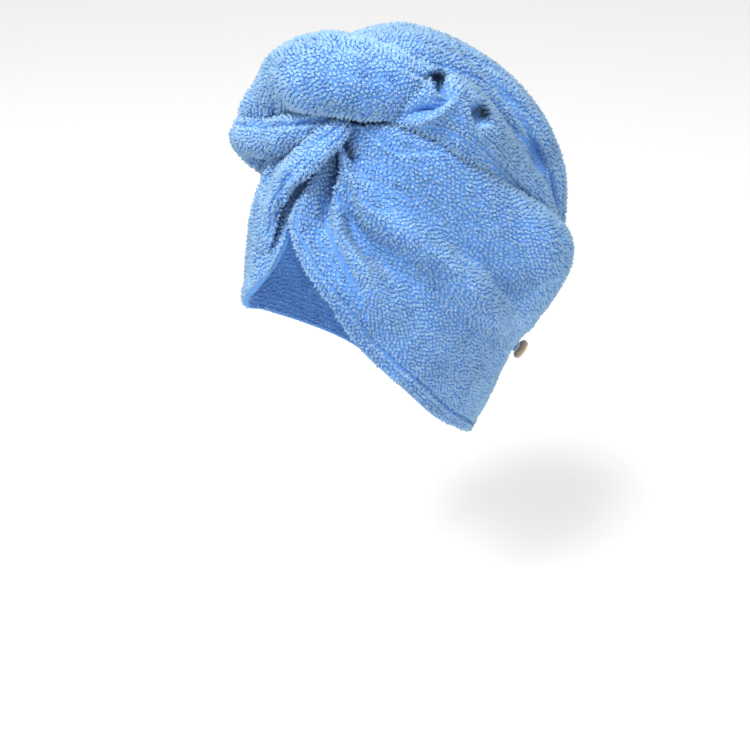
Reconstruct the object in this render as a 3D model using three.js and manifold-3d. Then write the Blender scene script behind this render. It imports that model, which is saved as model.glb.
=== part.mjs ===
// Hair turban towel of plush microfibre, in its worn form, in millimetres with +Z up.
// The wearer looks along -Y and the wearer's left is +X.
// The origin is where the crown of the head touches the inside of the hood.
import * as THREE from "three";
import { mergeVertices } from "three/addons/utils/BufferGeometryUtils.js";
import Module from "manifold-3d";

// Driving dimensions of the head hollow, from the line between the ears
const HEAD_HALF_WIDTH = 74;
const FOREHEAD_REACH = 79;
const NAPE_REACH = 96;
const CROWN_RISE = 119;
const CHIN_DROP = 112;

// Driving dimensions of the cloth
const CLOTH_WALL = 5;
const PLEAT_RISE = 40;
const TWIST_WIDTH = 56;
const TWIST_THICKNESS = 40;
const BAND_WIDTH = 34;
const BAND_THICKNESS = 26;
const STRAP_WIDTH = 44;
const STRAP_THICKNESS = 22;
const SIDE_FOLD_WIDTH = 50;
const SIDE_FOLD_THICKNESS = 36;
const TAIL_WIDTH = 84;
const TAIL_THICKNESS = 49;
const SEAT_GAP = 0.4;

// Driving dimensions of the fastening
const BUTTON_DIAMETER = 14;
const BUTTON_THICKNESS = 4;
const BUTTON_HOLE = 2.2;
const BUTTON_HOLE_SPACING = 4;
const THREAD_DIAMETER = 1.4;
const THREAD_KNOT_THICKNESS = 1;
const SHANK_DIAMETER = 3;
const LOOP_CORD = 2.4;
const LOOP_OFF_CLOTH = 1;
const LOOP_REACH = 26;

// The loop lies under the button with a gap to the shank and to the thread's knot
const LOOP_LIFT = LOOP_OFF_CLOTH + LOOP_CORD / 2;
const LOOP_HALF_WIDTH = SHANK_DIAMETER / 2 + SEAT_GAP + LOOP_CORD / 2;
const SHANK_LENGTH = LOOP_LIFT + LOOP_CORD / 2 + SEAT_GAP + THREAD_KNOT_THICKNESS;

// The knot over the forehead, where both panels are gathered, as a direction from the ear line
const KNOT_AZIMUTH_ANGLE = 23.4;
const KNOT_ELEVATION_ANGLE = 76.5;

// Where the hood ends at the nape, in degrees from the knot
const NAPE_ANGLE_AT_HEM = 140;
const NAPE_ANGLE_BEHIND = 147;

// Where the button is sewn on: across the hood and along it, and which way the loop leaves it
const BUTTON_ACROSS = 0.31;
const BUTTON_ALONG = 0.76;
const LOOP_TOWARD = { x: 0.2, y: 1.1, z: -0.12 };

// How finely the faces follow the cloth, the button and the cords
const HOOD_COLUMNS = 52;
const HOOD_ROWS = 22;
const BUTTON_SIDES = 20;
const POST_SIDES = 12;
const CORD_SIDES = 6;
const STITCH_STEPS = 12;
const LOOP_STEPS = 26;

// The hem of each panel: degrees from the knot, and its bearing round the knot from straight back
const LEFT_HEM = [
  { from: 0, bearing: 186 },
  { from: 10, bearing: 188 },
  { from: 17, bearing: 188 },
  { from: 21, bearing: 184 },
  { from: 25, bearing: 172 },
  { from: 30, bearing: 160 },
  { from: 40, bearing: 142 },
  { from: 55, bearing: 129 },
  { from: 76, bearing: 113 },
  { from: 111, bearing: 92 },
  { from: 127, bearing: 78 },
  { from: 147, bearing: 54 },
];
const RIGHT_HEM = [
  { from: 0, bearing: 170 },
  { from: 17, bearing: 168 },
  { from: 21, bearing: 172 },
  { from: 25, bearing: 178 },
  { from: 30, bearing: 178 },
  { from: 43, bearing: 170 },
  { from: 51, bearing: 163 },
  { from: 61, bearing: 152 },
  { from: 74, bearing: 141 },
  { from: 87, bearing: 126 },
  { from: 104, bearing: 110 },
  { from: 121, bearing: 93 },
  { from: 147, bearing: 60 },
];

// The folds run out of the knot. Each has its place across the hood (1 at the left hem, -1 at
// the right hem) and its rise, as a share of PLEAT_RISE, at seven stations from knot to nape.
// The back and front spread are its slopes to either side, and hollow is how much of it is empty.
const FOLD_STATIONS = [0, 0.12, 0.3, 0.45, 0.6, 0.8, 1];
const FOLDS = [
  {
    name: "broad pleat, overhanging edge",
    across: [0.66, 0.58, 0.585, 0.57, 0.52, 0.45, 0.4],
    rise: [0.6, 0.5, 0.62, 0.5, 0.2, 0.02, 0],
    back: 0.16,
    front: 0.035,
    hollow: 0.5,
  },
  {
    name: "broad pleat, crest",
    across: [0.36, 0.31, 0.33, 0.33, 0.29, 0.24, 0.24],
    rise: [0.7, 1.02, 0.96, 1.22, 0.7, 0.02, 0],
    back: 0.18,
    front: 0.16,
    hollow: 0.7,
  },
  {
    name: "cloth gathered under the tail",
    across: [0, 0, 0, 0, 0, 0, 0],
    rise: [0.7, 0.6, 0.75, 0.78, 0.68, 0.12, 0],
    back: 0.26,
    front: 0.24,
    hollow: 0,
  },
  {
    name: "small pleat below the broad one",
    across: [0.62, 0.7, 0.8, 0.85, 0.88, 0.9, 0.9],
    rise: [0.62, 0.36, 0.2, 0.06, 0, 0, 0],
    back: 0.08,
    front: 0.07,
    hollow: 0.3,
  },
  {
    name: "left hem, lifted at the knot",
    across: [0.86, 0.9, 0.95, 1, 1, 1, 1],
    rise: [0.62, 0.32, 0.12, 0.02, 0, 0, 0],
    back: 0.07,
    front: 0.1,
    hollow: 0.2,
  },
  {
    name: "right crown pleat",
    across: [-0.25, -0.25, -0.25, -0.25, -0.25, -0.25, -0.25],
    rise: [0.7, 0.8, 0.8, 0.72, 0.55, 0.1, 0],
    back: 0.14,
    front: 0.16,
    hollow: 0,
  },
  {
    name: "right temple pleat",
    across: [-0.5, -0.55, -0.58, -0.6, -0.6, -0.6, -0.6],
    rise: [0.68, 0.8, 0.42, 0.12, 0.1, 0.04, 0],
    back: 0.1,
    front: 0.1,
    hollow: 0.3,
  },
  {
    name: "right forehead pleat",
    across: [-0.7, -0.76, -0.82, -0.85, -0.85, -0.85, -0.85],
    rise: [0.62, 0.55, 0.14, 0.04, 0.02, 0, 0],
    back: 0.08,
    front: 0.1,
    hollow: 0.2,
  },
  {
    name: "right hem pleat",
    across: [-0.88, -0.93, -0.97, -1, -1, -1, -1],
    rise: [0.6, 0.2, 0.06, 0, 0, 0, 0],
    back: 0.05,
    front: 0.05,
    hollow: 0.2,
  },
];

// Sections of the wound cloth. x, y and z are the middle, as shares of HEAD_HALF_WIDTH,
// NAPE_REACH and CROWN_RISE from the ear line; wide and thick are shares of the piece's own size.
// The main lobe of the twist lies over its lower band, which runs on round the right temple.
const TWIST_SECTIONS = [
  { x: 0.53, y: 0.22, z: 1.36, wide: 0.18, thick: 0.3 },
  { x: 0.51, y: 0.14, z: 1.39, wide: 0.32, thick: 0.55 },
  { x: 0.46, y: 0.01, z: 1.39, wide: 0.64, thick: 0.85 },
  { x: 0.32, y: -0.16, z: 1.41, wide: 0.89, thick: 1 },
  { x: 0.18, y: -0.27, z: 1.43, wide: 1, thick: 1 },
  { x: 0.01, y: -0.36, z: 1.43, wide: 1, thick: 1 },
  { x: -0.19, y: -0.42, z: 1.38, wide: 0.72, thick: 1 },
  { x: -0.38, y: -0.48, z: 1.28, wide: 0.46, thick: 0.74 },
  { x: -0.57, y: -0.51, z: 1.19, wide: 0.41, thick: 0.6 },
  { x: -0.74, y: -0.52, z: 1.09, wide: 0.32, thick: 0.45 },
];
const BAND_SECTIONS = [
  { x: 0.24, y: -0.27, z: 1.25, wide: 0.18, thick: 0.31 },
  { x: 0.18, y: -0.36, z: 1.24, wide: 0.41, thick: 0.54 },
  { x: -0.03, y: -0.47, z: 1.18, wide: 0.71, thick: 0.77 },
  { x: -0.32, y: -0.53, z: 1.1, wide: 0.88, thick: 0.92 },
  { x: -0.59, y: -0.54, z: 1.08, wide: 0.94, thick: 1 },
  { x: -0.81, y: -0.37, z: 0.93, wide: 1, thick: 1 },
  { x: -0.92, y: -0.15, z: 0.76, wide: 0.82, thick: 0.77 },
  { x: -0.91, y: 0.12, z: 0.56, wide: 0.47, thick: 0.38 },
];
// The strap is the gathered top of the right panel, which passes over the left panel at the knot
const STRAP_SECTIONS = [
  { x: 0.26, y: -0.29, z: 1.25, wide: 0.18, thick: 0.36 },
  { x: 0.3, y: -0.39, z: 1.19, wide: 0.41, thick: 0.82 },
  { x: 0.19, y: -0.47, z: 1.09, wide: 0.73, thick: 1 },
  { x: -0.03, y: -0.53, z: 0.96, wide: 0.98, thick: 0.95 },
  { x: -0.18, y: -0.61, z: 0.82, wide: 1, thick: 0.82 },
  { x: -0.22, y: -0.67, z: 0.68, wide: 0.9, thick: 0.56 },
  { x: -0.22, y: -0.72, z: 0.55, wide: 0.6, thick: 0.27 },
];
const SIDE_FOLD_SECTIONS = [
  { x: 0.32, y: -0.15, z: 1.23, wide: 0.2, thick: 0.28 },
  { x: 0.5, y: -0.06, z: 1.26, wide: 0.4, thick: 0.56 },
  { x: 0.63, y: 0.04, z: 1.3, wide: 0.68, thick: 0.83 },
  { x: 0.7, y: 0.17, z: 1.29, wide: 0.96, thick: 1 },
  { x: 0.73, y: 0.31, z: 1.2, wide: 1, thick: 1 },
  { x: 0.75, y: 0.48, z: 1.06, wide: 0.84, thick: 0.89 },
  { x: 0.76, y: 0.65, z: 0.91, wide: 0.64, thick: 0.78 },
  { x: 0.78, y: 0.82, z: 0.77, wide: 0.48, thick: 0.67 },
  { x: 0.78, y: 0.96, z: 0.63, wide: 0.36, thick: 0.5 },
  { x: 0.75, y: 1.1, z: 0.5, wide: 0.24, thick: 0.33 },
];
const TAIL_SECTIONS = [
  { x: -0.38, y: -0.37, z: 1.25, wide: 0.57, thick: 0.65 },
  { x: -0.18, y: -0.12, z: 1.33, wide: 0.86, thick: 0.88 },
  { x: 0.05, y: 0.18, z: 1.39, wide: 0.98, thick: 0.98 },
  { x: 0.19, y: 0.51, z: 1.29, wide: 1, thick: 1 },
  { x: 0.27, y: 0.82, z: 1.1, wide: 0.98, thick: 0.92 },
  { x: 0.3, y: 1.04, z: 0.82, wide: 0.95, thick: 0.9 },
  { x: 0.3, y: 1.11, z: 0.49, wide: 0.88, thick: 0.86 },
  { x: 0.26, y: 1.12, z: 0.12, wide: 0.74, thick: 0.73 },
  { x: 0.22, y: 1.11, z: -0.23, wide: 0.52, thick: 0.41 },
];

// The button from the middle of its back round the rim to the middle of its dished face:
// out is a share of its radius and up a share of its thickness
const BUTTON_DISH = 0.3;
const BUTTON_PROFILE = [
  { out: 0, up: 0 },
  { out: 0.75, up: 0 },
  { out: 0.95, up: 0.25 },
  { out: 1, up: 0.6 },
  { out: 0.93, up: 0.95 },
  { out: 0.82, up: 1 },
  { out: 0.7, up: 1 - BUTTON_DISH * 0.8 },
  { out: 0.5, up: 1 - BUTTON_DISH },
  { out: 0, up: 1 - BUTTON_DISH },
];

// Small numbers that shape the folds and every wound piece
const EDGE_STEP = 0.035;
const SECTION_SQUARENESS = 2.3;
const END_ROUNDING = 0.05;
const RIB_POINTEDNESS = 1.5;
const PATH_STEP = 0.005;
const STRAP_UNDERSIDE = 0.4;

const CLOTH_BLUE = 0x74a7ea;
const BUTTON_BEIGE = 0xc9ae84;
const THREAD_CREAM = 0xe4dccb;
const LOOP_BLUE = 0x5f8fd0;

const radians = THREE.MathUtils.degToRad;

function columnSlopes(places, values) {
  // Slope at each row of a table, from the rows before and after it
  const last = places.length - 1;
  return values.map((value, row) => {
    if (row === 0) return (values[1] - value) / (places[1] - places[0]);
    if (row === last) return (value - values[last - 1]) / (places[last] - places[last - 1]);
    const before = places[row] - places[row - 1];
    const after = places[row + 1] - places[row];
    const slopeBefore = (value - values[row - 1]) / before;
    const slopeAfter = (values[row + 1] - value) / after;
    return (slopeBefore * after + slopeAfter * before) / (before + after);
  });
}

function smoothColumn(places, values) {
  // A smooth curve through one column of a table
  const slopes = columnSlopes(places, values);
  const last = places.length - 1;
  return (place) => {
    const at = Math.min(Math.max(place, places[0]), places[last]);
    let row = 0;
    while (row < last - 1 && at >= places[row + 1]) row += 1;
    const width = places[row + 1] - places[row];
    const t = (at - places[row]) / width;
    const t2 = t * t;
    const t3 = t2 * t;
    return (
      (2 * t3 - 3 * t2 + 1) * values[row] +
      (t3 - 2 * t2 + t) * width * slopes[row] +
      (3 * t2 - 2 * t3) * values[row + 1] +
      (t3 - t2) * width * slopes[row + 1]
    );
  };
}

// The knot's direction, with sideways toward the wearer's left and backward over the crown
const knot = new THREE.Vector3(
  Math.sin(radians(KNOT_AZIMUTH_ANGLE)) * Math.cos(radians(KNOT_ELEVATION_ANGLE)),
  -Math.cos(radians(KNOT_AZIMUTH_ANGLE)) * Math.cos(radians(KNOT_ELEVATION_ANGLE)),
  Math.sin(radians(KNOT_ELEVATION_ANGLE)),
);
const sideways = new THREE.Vector3(1, 0, 0).addScaledVector(knot, -knot.x).normalize();
const backward = new THREE.Vector3().crossVectors(knot, sideways);

const leftHem = smoothColumn(
  LEFT_HEM.map((row) => row.from),
  LEFT_HEM.map((row) => row.bearing),
);
const rightHem = smoothColumn(
  RIGHT_HEM.map((row) => row.from),
  RIGHT_HEM.map((row) => row.bearing),
);
const folds = FOLDS.map((fold) => ({
  ...fold,
  acrossAt: smoothColumn(FOLD_STATIONS, fold.across),
  riseAt: smoothColumn(FOLD_STATIONS, fold.rise),
}));

function hoodDirection(across, along) {
  // Direction from the middle of the head to a point of the hood
  const napeEdge = NAPE_ANGLE_AT_HEM + (NAPE_ANGLE_BEHIND - NAPE_ANGLE_AT_HEM) * (1 - across ** 4);
  const distance = napeEdge * along;
  const hem = across >= 0 ? leftHem(distance) : rightHem(distance);
  const bearing = radians(across * hem);
  const reach = Math.sin(radians(distance));
  return knot
    .clone()
    .multiplyScalar(Math.cos(radians(distance)))
    .addScaledVector(backward, reach * Math.cos(bearing))
    .addScaledVector(sideways, reach * Math.sin(bearing));
}

function headRadius(direction) {
  const halfLength = direction.y < 0 ? FOREHEAD_REACH : NAPE_REACH;
  const halfHeight = direction.z < 0 ? CHIN_DROP : CROWN_RISE;
  return (
    1 /
    Math.hypot(
      direction.x / HEAD_HALF_WIDTH,
      direction.y / halfLength,
      direction.z / halfHeight,
    )
  );
}

function foldHeight(across, along, share) {
  // All folds together, where the higher one wins with a soft change between them
  let sum = 0;
  for (const fold of folds) {
    const aside = across - fold.acrossAt(along);
    const spread = aside < 0 ? fold.back : fold.front;
    const height = Math.max(fold.riseAt(along), 0) * PLEAT_RISE * share(fold);
    sum += (height * Math.exp(-((aside / spread) ** 2))) ** 3;
  }
  return Math.cbrt(sum);
}

function columnAcross(share, along) {
  // Columns of faces run along the overhanging edge of the broad pleat, close together at its step
  const edge = folds[0].acrossAt(along);
  const guides = [
    { share: 0, across: -1 },
    { share: 0.45, across: 0 },
    { share: 0.68, across: edge - EDGE_STEP },
    { share: 0.72, across: edge },
    { share: 0.8, across: edge + 2 * EDGE_STEP },
    { share: 1, across: 1 },
  ];
  let next = 1;
  while (next < guides.length - 1 && share > guides[next].share) next += 1;
  const before = guides[next - 1];
  const after = guides[next];
  const part = (share - before.share) / (after.share - before.share);
  return before.across + (after.across - before.across) * part;
}

function orientOutward(positions, triangles) {
  // Turns every face round if the body would be inside out
  let volume = 0;
  for (let i = 0; i < triangles.length; i += 3) {
    const [a, b, c] = triangles.slice(i, i + 3).map((n) => positions[n]);
    volume += a.dot(new THREE.Vector3().crossVectors(b, c));
  }
  if (volume < 0) {
    for (let i = 0; i < triangles.length; i += 3) {
      [triangles[i + 1], triangles[i + 2]] = [triangles[i + 2], triangles[i + 1]];
    }
  }
}

function bodyFrom(positions, triangles) {
  orientOutward(positions, triangles);
  const geometry = new THREE.BufferGeometry();
  const numbers = positions.flatMap((point) => [point.x, point.y, point.z]);
  geometry.setAttribute("position", new THREE.Float32BufferAttribute(numbers, 3));
  geometry.setIndex(triangles);
  return geometry;
}

function hoodBody(outside, inside) {
  // A shell between two radii, closed along both hems and the nape, with one point at the knot
  const positions = [];
  const triangles = [];
  const index = { outer: [], inner: [] };
  for (const [skin, radius] of [
    ["outer", outside],
    ["inner", inside],
  ]) {
    positions.push(hoodDirection(0, 0).multiplyScalar(radius(0, 0)));
    const tip = positions.length - 1;
    for (let column = 0; column <= HOOD_COLUMNS; column += 1) {
      index[skin].push([tip]);
      for (let row = 1; row <= HOOD_ROWS; row += 1) {
        const along = row / HOOD_ROWS;
        const across = columnAcross(column / HOOD_COLUMNS, along);
        positions.push(hoodDirection(across, along).multiplyScalar(radius(across, along)));
        index[skin][column].push(positions.length - 1);
      }
    }
  }
  const face = (a, b, c) => {
    if (a !== b && b !== c && c !== a) triangles.push(a, b, c);
  };
  const strip = (a, b, c, d) => {
    face(a, b, c);
    face(a, c, d);
  };
  const { outer, inner } = index;
  for (let column = 0; column < HOOD_COLUMNS; column += 1) {
    for (let row = 0; row < HOOD_ROWS; row += 1) {
      const next = column + 1;
      strip(outer[column][row], outer[next][row], outer[next][row + 1], outer[column][row + 1]);
      strip(inner[column][row], inner[column][row + 1], inner[next][row + 1], inner[next][row]);
    }
  }
  const right = 0;
  const left = HOOD_COLUMNS;
  for (let row = 0; row < HOOD_ROWS; row += 1) {
    strip(outer[right][row], outer[right][row + 1], inner[right][row + 1], inner[right][row]);
    strip(outer[left][row + 1], outer[left][row], inner[left][row], inner[left][row + 1]);
  }
  for (let column = 0; column < HOOD_COLUMNS; column += 1) {
    const end = HOOD_ROWS;
    const next = column + 1;
    strip(outer[column][end], outer[next][end], inner[next][end], inner[column][end]);
  }
  return bodyFrom(positions, triangles);
}

const whole = () => 1;
const hollowShare = (fold) => fold.hollow;
const hoodOutside = (across, along) =>
  headRadius(hoodDirection(across, along)) + CLOTH_WALL + foldHeight(across, along, whole);
const hoodInside = (across, along) =>
  headRadius(hoodDirection(across, along)) + foldHeight(across, along, hollowShare);

function woundBody(shape, grow = 0) {
  // A long bundle of cloth through its sections, with ribs that turn slowly round it
  const { sections, width, thickness, rings, sides, ribs, ribDepth, ribTurn } = shape;
  const underside = shape.underside ?? 1;
  const middles = sections.map(
    (row) =>
      new THREE.Vector3(row.x * HEAD_HALF_WIDTH, row.y * NAPE_REACH, row.z * CROWN_RISE),
  );
  const places = [0];
  for (let i = 1; i < middles.length; i += 1) {
    places.push(places[i - 1] + middles[i].distanceTo(middles[i - 1]));
  }
  const total = places[places.length - 1];
  const column = (pick) => smoothColumn(places, sections.map(pick));
  const pathX = smoothColumn(places, middles.map((point) => point.x));
  const pathY = smoothColumn(places, middles.map((point) => point.y));
  const pathZ = smoothColumn(places, middles.map((point) => point.z));
  const wideAt = column((row) => (row.wide * width) / 2);
  const thickAt = column((row) => (row.thick * thickness) / 2);
  const pathAt = (place) => new THREE.Vector3(pathX(place), pathY(place), pathZ(place));

  const positions = [];
  const triangles = [];
  const rows = [];
  for (let ring = 0; ring <= rings; ring += 1) {
    const share = (1 - Math.cos((Math.PI * ring) / rings)) / 2;
    const middle = pathAt(share * total);
    const step = total * PATH_STEP;
    const ahead = pathAt(Math.min(share * total + step, total));
    const behind = pathAt(Math.max(share * total - step, 0));
    const run = ahead.sub(behind).normalize();
    const out = middle.clone();
    out.addScaledVector(run, -out.dot(run)).normalize();
    const side = new THREE.Vector3().crossVectors(run, out);
    if (ring === 0 || ring === rings) {
      const direction = ring === 0 ? -grow : grow;
      positions.push(middle.clone().addScaledVector(run, direction));
      rows.push([positions.length - 1]);
      continue;
    }
    const nearEnd = Math.min(1, Math.min(share, 1 - share) / END_ROUNDING);
    const rounding = Math.sqrt(Math.max(1 - (1 - nearEnd) ** 2, 0));
    const wide = wideAt(share * total) * rounding + grow;
    const thick = thickAt(share * total) * rounding + grow;
    const row = [];
    for (let corner = 0; corner < sides; corner += 1) {
      const angle = (2 * Math.PI * corner) / sides;
      const squared = (value) => Math.sign(value) * Math.abs(value) ** (2 / SECTION_SQUARENESS);
      const wave = Math.abs(Math.sin((ribs * angle + ribTurn * share) / 2));
      const rib = 1 - ribDepth * (1 - wave) ** RIB_POINTEDNESS;
      const thickHere = Math.sin(angle) < 0 ? thick * underside : thick;
      positions.push(
        middle
          .clone()
          .addScaledVector(side, squared(Math.cos(angle)) * wide * rib)
          .addScaledVector(out, squared(Math.sin(angle)) * thickHere * rib),
      );
      row.push(positions.length - 1);
    }
    rows.push(row);
  }
  for (let ring = 0; ring < rings; ring += 1) {
    for (let corner = 0; corner < sides; corner += 1) {
      const pick = (row, n) => rows[row][rows[row].length === 1 ? 0 : n % sides];
      const a = pick(ring, corner);
      const b = pick(ring, corner + 1);
      const c = pick(ring + 1, corner + 1);
      const d = pick(ring + 1, corner);
      if (a !== b) triangles.push(a, b, c);
      if (c !== d) triangles.push(a, c, d);
    }
  }
  return bodyFrom(positions, triangles);
}

// Joins and cuts
const wasm = await Module();
wasm.setup();

function toSolid(geometry) {
  const mesh = new wasm.Mesh({
    numProp: 3,
    vertProperties: new Float32Array(geometry.attributes.position.array),
    triVerts: new Uint32Array(geometry.index.array),
  });
  return new wasm.Manifold(mesh);
}

function toGeometry(solid) {
  // The largest body of a cut piece, without the crumbs that a cut can leave
  const bodies = solid.decompose();
  bodies.sort((a, b) => b.volume() - a.volume());
  const mesh = bodies[0].getMesh();
  const geometry = new THREE.BufferGeometry();
  geometry.setAttribute("position", new THREE.Float32BufferAttribute(mesh.vertProperties, 3));
  geometry.setIndex([...mesh.triVerts]);
  return geometry;
}

const twistShape = {
  sections: TWIST_SECTIONS,
  width: TWIST_WIDTH,
  thickness: TWIST_THICKNESS,
  rings: 24,
  sides: 24,
  ribs: 7,
  ribDepth: 0.08,
  ribTurn: 3,
};
const bandShape = {
  sections: BAND_SECTIONS,
  width: BAND_WIDTH,
  thickness: BAND_THICKNESS,
  rings: 16,
  sides: 14,
  ribs: 5,
  ribDepth: 0.1,
  ribTurn: 2,
};
const strapShape = {
  sections: STRAP_SECTIONS,
  width: STRAP_WIDTH,
  thickness: STRAP_THICKNESS,
  rings: 14,
  sides: 18,
  ribs: 6,
  ribDepth: 0.12,
  ribTurn: 2,
  underside: STRAP_UNDERSIDE,
};
const sideFoldShape = {
  sections: SIDE_FOLD_SECTIONS,
  width: SIDE_FOLD_WIDTH,
  thickness: SIDE_FOLD_THICKNESS,
  rings: 22,
  sides: 18,
  ribs: 6,
  ribDepth: 0.08,
  ribTurn: 2,
};
const tailShape = {
  sections: TAIL_SECTIONS,
  width: TAIL_WIDTH,
  thickness: TAIL_THICKNESS,
  rings: 26,
  sides: 24,
  ribs: 8,
  ribDepth: 0.07,
  ribTurn: 2,
};

// What stands on the hood is cut by it and by the cloth laid over it, with a small gap
const CUTTER_DEPTH = 0.45;
const hoodCutter = toSolid(
  hoodBody(
    (across, along) => hoodOutside(across, along) + SEAT_GAP,
    (across, along) => hoodOutside(across, along) * CUTTER_DEPTH,
  ),
);
const twistCutter = toSolid(woundBody(twistShape, SEAT_GAP)).add(
  toSolid(woundBody(bandShape, SEAT_GAP)),
);
const strapCutter = toSolid(woundBody(strapShape, SEAT_GAP));
const tailCutter = toSolid(woundBody(tailShape, SEAT_GAP));

const hoodShell = toSolid(hoodBody(hoodOutside, hoodInside));
const hood = toGeometry(hoodShell.add(toSolid(woundBody(strapShape))));
const twistUncut = toSolid(woundBody(twistShape)).add(toSolid(woundBody(bandShape)));
const frontTwist = toGeometry(twistUncut.subtract(hoodCutter).subtract(strapCutter));
const tailUncut = toSolid(woundBody(tailShape));
const tail = toGeometry(tailUncut.subtract(hoodCutter).subtract(twistCutter));
const sideFoldUncut = toSolid(woundBody(sideFoldShape));
const sideFold = toGeometry(
  sideFoldUncut.subtract(hoodCutter).subtract(twistCutter).subtract(tailCutter),
);

// The button stands on the hood where its shank is sewn on
const seatPoint = (across, along) =>
  hoodDirection(across, along).multiplyScalar(hoodOutside(across, along));
const seat = seatPoint(BUTTON_ACROSS, BUTTON_ALONG);
const nearby = 0.02;
const alongEdge = seatPoint(BUTTON_ACROSS, BUTTON_ALONG + nearby).sub(seat);
const acrossEdge = seatPoint(BUTTON_ACROSS + nearby, BUTTON_ALONG).sub(seat);
const facing = new THREE.Vector3().crossVectors(acrossEdge, alongEdge).normalize();
if (facing.dot(seat) < 0) facing.negate();
const loopRun = new THREE.Vector3(
  LOOP_TOWARD.x * HEAD_HALF_WIDTH,
  LOOP_TOWARD.y * NAPE_REACH,
  LOOP_TOWARD.z * CROWN_RISE,
).sub(seat);
loopRun.addScaledVector(facing, -loopRun.dot(facing)).normalize();
const loopSide = new THREE.Vector3().crossVectors(loopRun, facing);
const buttonFrame = new THREE.Matrix4().makeBasis(loopRun, facing, loopSide).setPosition(seat);

function closedBody(geometry) {
  // Keeps only places and merges the corners that faces share
  geometry.deleteAttribute("normal");
  geometry.deleteAttribute("uv");
  return mergeVertices(geometry, 1e-4);
}

function postBody(radius, bottom, top, x = 0, z = 0) {
  const post = new THREE.CylinderGeometry(radius, radius, top - bottom, POST_SIDES);
  post.translate(x, (bottom + top) / 2, z);
  return closedBody(post);
}

function cordBody(points, diameter, steps) {
  const section = new THREE.Shape();
  for (let corner = 0; corner < CORD_SIDES; corner += 1) {
    const angle = (2 * Math.PI * corner) / CORD_SIDES;
    const x = (Math.cos(angle) * diameter) / 2;
    const y = (Math.sin(angle) * diameter) / 2;
    if (corner === 0) section.moveTo(x, y);
    else section.lineTo(x, y);
  }
  section.closePath();
  const extrudePath = new THREE.CatmullRomCurve3(points);
  return closedBody(new THREE.ExtrudeGeometry(section, { steps, extrudePath }));
}

// The button, round about its own upright axis, with a rim, a dished face and four holes
const buttonBack = SHANK_LENGTH + SEAT_GAP;
const buttonFront = buttonBack + BUTTON_THICKNESS;
const buttonProfile = BUTTON_PROFILE.map(
  ({ out, up }) =>
    new THREE.Vector2((out * BUTTON_DIAMETER) / 2, buttonBack + up * BUTTON_THICKNESS),
);
const holePlaces = [-1, 1].flatMap((x) =>
  [-1, 1].map((z) => ({ x: (x * BUTTON_HOLE_SPACING) / 2, z: (z * BUTTON_HOLE_SPACING) / 2 })),
);
const drillPast = BUTTON_THICKNESS / 4;
let buttonSolid = toSolid(closedBody(new THREE.LatheGeometry(buttonProfile, BUTTON_SIDES)));
for (const hole of holePlaces) {
  const bottom = buttonBack - drillPast;
  const top = buttonFront + drillPast;
  const drill = postBody(BUTTON_HOLE / 2, bottom, top, hole.x, hole.z);
  buttonSolid = buttonSolid.subtract(toSolid(drill));
}

// The sewing thread: a shank, a knot under the button and a stitch through each pair of holes
const buttonFace = buttonFront - BUTTON_DISH * BUTTON_THICKNESS;
const stitchTop = buttonFace + SEAT_GAP + THREAD_DIAMETER / 2;
const stitchFlat = 0.7;
const shank = postBody(SHANK_DIAMETER / 2, -SHANK_LENGTH, SHANK_LENGTH);
const knotRadius = (BUTTON_HOLE_SPACING / 2) * Math.SQRT2 + THREAD_DIAMETER / 2;
const knotDisc = postBody(knotRadius, SHANK_LENGTH - THREAD_KNOT_THICKNESS, SHANK_LENGTH);
let threadSolid = toSolid(shank).add(toSolid(knotDisc));
for (const z of [-BUTTON_HOLE_SPACING / 2, BUTTON_HOLE_SPACING / 2]) {
  const reach = BUTTON_HOLE_SPACING / 2;
  const foot = SHANK_LENGTH - THREAD_KNOT_THICKNESS / 2;
  const stitch = [
    new THREE.Vector3(-reach, foot, z),
    new THREE.Vector3(-reach, (foot + stitchTop) / 2, z),
    new THREE.Vector3(-reach * stitchFlat, stitchTop, z),
    new THREE.Vector3(reach * stitchFlat, stitchTop, z),
    new THREE.Vector3(reach, (foot + stitchTop) / 2, z),
    new THREE.Vector3(reach, foot, z),
  ];
  threadSolid = threadSolid.add(toSolid(cordBody(stitch, THREAD_DIAMETER, STITCH_STEPS)));
}

// The elastic loop comes out of the end of the tail and passes round the shank
const loopPoints = [];
const legShares = [1, 0.75, 0.5, 0.25, 0];
for (const share of legShares) {
  loopPoints.push(new THREE.Vector3(share * LOOP_REACH, LOOP_LIFT, LOOP_HALF_WIDTH));
}
for (const turn of [0.25, 0.5, 0.75]) {
  const angle = Math.PI * (0.5 + turn);
  const x = Math.cos(angle) * LOOP_HALF_WIDTH;
  loopPoints.push(new THREE.Vector3(x, LOOP_LIFT, Math.sin(angle) * LOOP_HALF_WIDTH));
}
for (const share of legShares.toReversed()) {
  loopPoints.push(new THREE.Vector3(share * LOOP_REACH, LOOP_LIFT, -LOOP_HALF_WIDTH));
}
const loopSolid = toSolid(cordBody(loopPoints, LOOP_CORD, LOOP_STEPS).applyMatrix4(buttonFrame));
const threadGeometry = toGeometry(threadSolid).applyMatrix4(buttonFrame);

const button = toGeometry(buttonSolid);
const buttonThread = toGeometry(toSolid(threadGeometry).subtract(hoodCutter));
const elasticLoop = toGeometry(loopSolid.subtract(hoodCutter).subtract(tailCutter));

function material(colour, roughness) {
  return new THREE.MeshStandardMaterial({ color: colour, roughness, metalness: 0 });
}

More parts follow.
